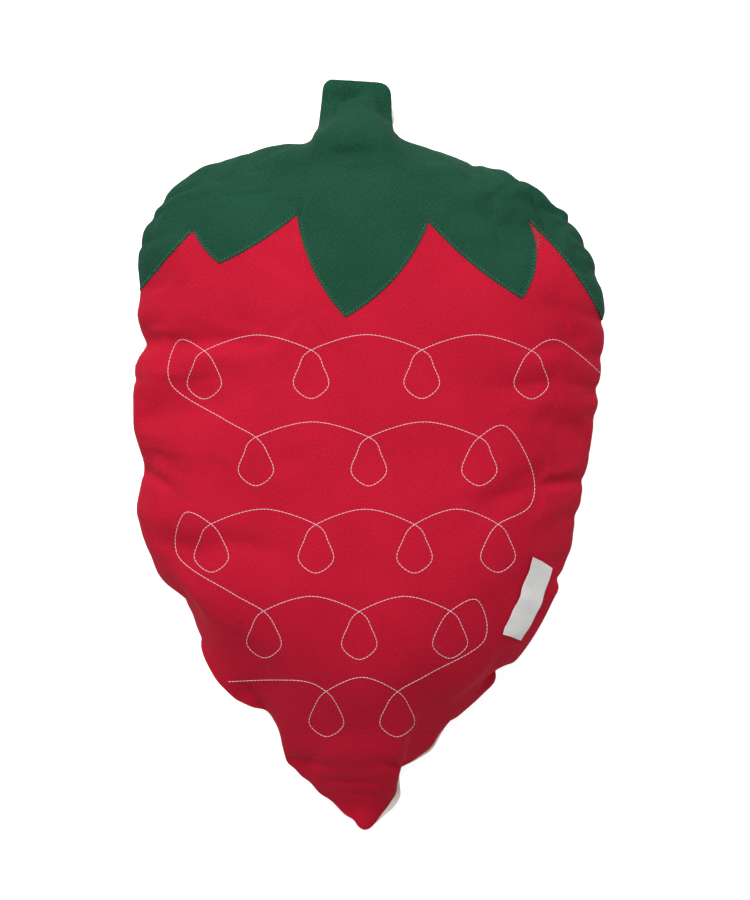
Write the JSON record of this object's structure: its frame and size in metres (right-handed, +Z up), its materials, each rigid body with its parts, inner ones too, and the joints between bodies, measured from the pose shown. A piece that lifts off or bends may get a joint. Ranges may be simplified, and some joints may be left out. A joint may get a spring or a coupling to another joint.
{
  "type": "strawberry-shaped cushion",
  "caption": "Soft stuffed cushion shaped like a strawberry, with a sewn green leaf cap and stem, a pointed tip, stitched seeds and a bare label.",
  "frame": {"origin": "on the table under the middle of the cushion's box", "axes": "+X across the berry to the right as seen on its face, +Y from the tip towards the stem, +Z up out of the front face"},
  "size_m": [0.3773, 0.6, 0.1322],
  "materials": {
    "red_twill": "matte cotton twill",
    "green_twill": "matte cotton twill",
    "ecru_cotton": "matte plain weave",
    "red_thread": "spun polyester",
    "green_thread": "spun polyester",
    "white_thread": "soft cotton",
    "label_tape": "woven satin tape",
    "fibre_fill": "loose polyester fibre"
  },
  "bodies": {
    "root": {"stuffing": "fibre_fill", "front_panel": "red_twill", "back_panel": "ecru_cotton", "leaf_cap": "green_twill", "seam_needle_thread": "red_thread", "seam_bobbin_thread": "red_thread", "closing_stitches": "white_thread", "leaf_zigzag": "green_thread", "seed_thread": "white_thread", "seed_bobbin_thread": "white_thread", "woven_label": "label_tape", "label_stitches": "white_thread"}
  },
  "joints": []
}
